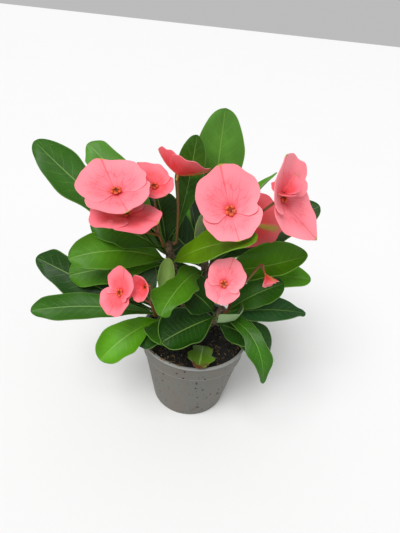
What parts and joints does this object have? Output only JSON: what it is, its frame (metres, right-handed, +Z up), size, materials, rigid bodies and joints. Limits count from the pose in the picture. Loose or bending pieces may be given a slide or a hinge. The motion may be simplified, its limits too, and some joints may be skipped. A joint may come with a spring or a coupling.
{
  "type": "potted euphorbia",
  "caption": "Crown-of-thorns euphorbia with pink bracts and broad green leaves on a short branching stem, growing in a round tapered nursery pot.",
  "frame": {"origin": "middle of the flat pad under the pot, on the plane that it stands on", "axes": "+Z up; -Y the front, where the two largest flower heads face; +X to the right seen from the front"},
  "size_m": [0.2533, 0.197, 0.2827],
  "materials": {
    "pot": "moulded grey polypropylene with soil specks",
    "soil": "dark damp peat compost with fibres",
    "stem": "rough brown bark with thorns",
    "flower_stalk": "smooth olive-brown stalk",
    "leaf": "waxy green leaf with a pale midrib",
    "leaf_young": "waxy lime-green leaf with a pale midrib",
    "bract": "soft matte pink bract with fine veins"
  },
  "bodies": {
    "root": {"flower_front_middle": "bract", "flower_left_behind": "bract", "flower_left_bud": "bract", "flower_left_hidden": "bract", "flower_left_large": "bract", "flower_left_low": "bract", "flower_left_under": "bract", "flower_middle_behind": "bract", "flower_middle_large": "bract", "flower_right_bud": "bract", "flower_right_open": "bract", "flower_top": "bract", "leaf_back_left": "leaf", "leaf_back_low_left": "leaf", "leaf_back_low_right": "leaf", "leaf_back_middle": "leaf", "leaf_back_right": "leaf", "leaf_broken_on_soil": "leaf", "leaf_centre_folded": "leaf", "leaf_centre_grey": "leaf", "leaf_centre_lobed": "leaf", "leaf_centre_oval": "leaf", "leaf_front_bowl": "leaf", "leaf_front_curled": "leaf", "leaf_front_dark": "leaf", "leaf_front_droop": "leaf", "leaf_front_low": "leaf", "leaf_front_right_dark": "leaf", "leaf_front_right_low": "leaf", "leaf_left_behind": "leaf_young", "leaf_left_broad": "leaf", "leaf_left_far": "leaf", "leaf_left_inner": "leaf", "leaf_left_low_dark": "leaf", "leaf_left_low_inner": "leaf", "leaf_left_low_lime": "leaf_young", "leaf_left_low_long": "leaf", "leaf_left_mid_dark": "leaf", "leaf_left_top": "leaf", "leaf_left_up_inner": "leaf", "leaf_left_upper_long": "leaf", "leaf_right_curled": "leaf", "leaf_right_edge_on": "leaf_young", "leaf_right_long": "leaf", "leaf_right_oval": "leaf", "leaf_right_pointed": "leaf", "leaf_right_small": "leaf_young", "leaf_top_folded": "leaf_young", "leaf_top_small": "leaf", "leaf_top_tall": "leaf", "leaf_young_curled": "leaf_young", "pot": "pot", "soil": "soil", "stalk_left": "flower_stalk", "stalk_left_back": "flower_stalk", "stalk_low_left": "flower_stalk", "stalk_low_right": "flower_stalk", "stalk_right": "flower_stalk", "stalk_top": "flower_stalk", "stem": "stem"}
  },
  "joints": []
}
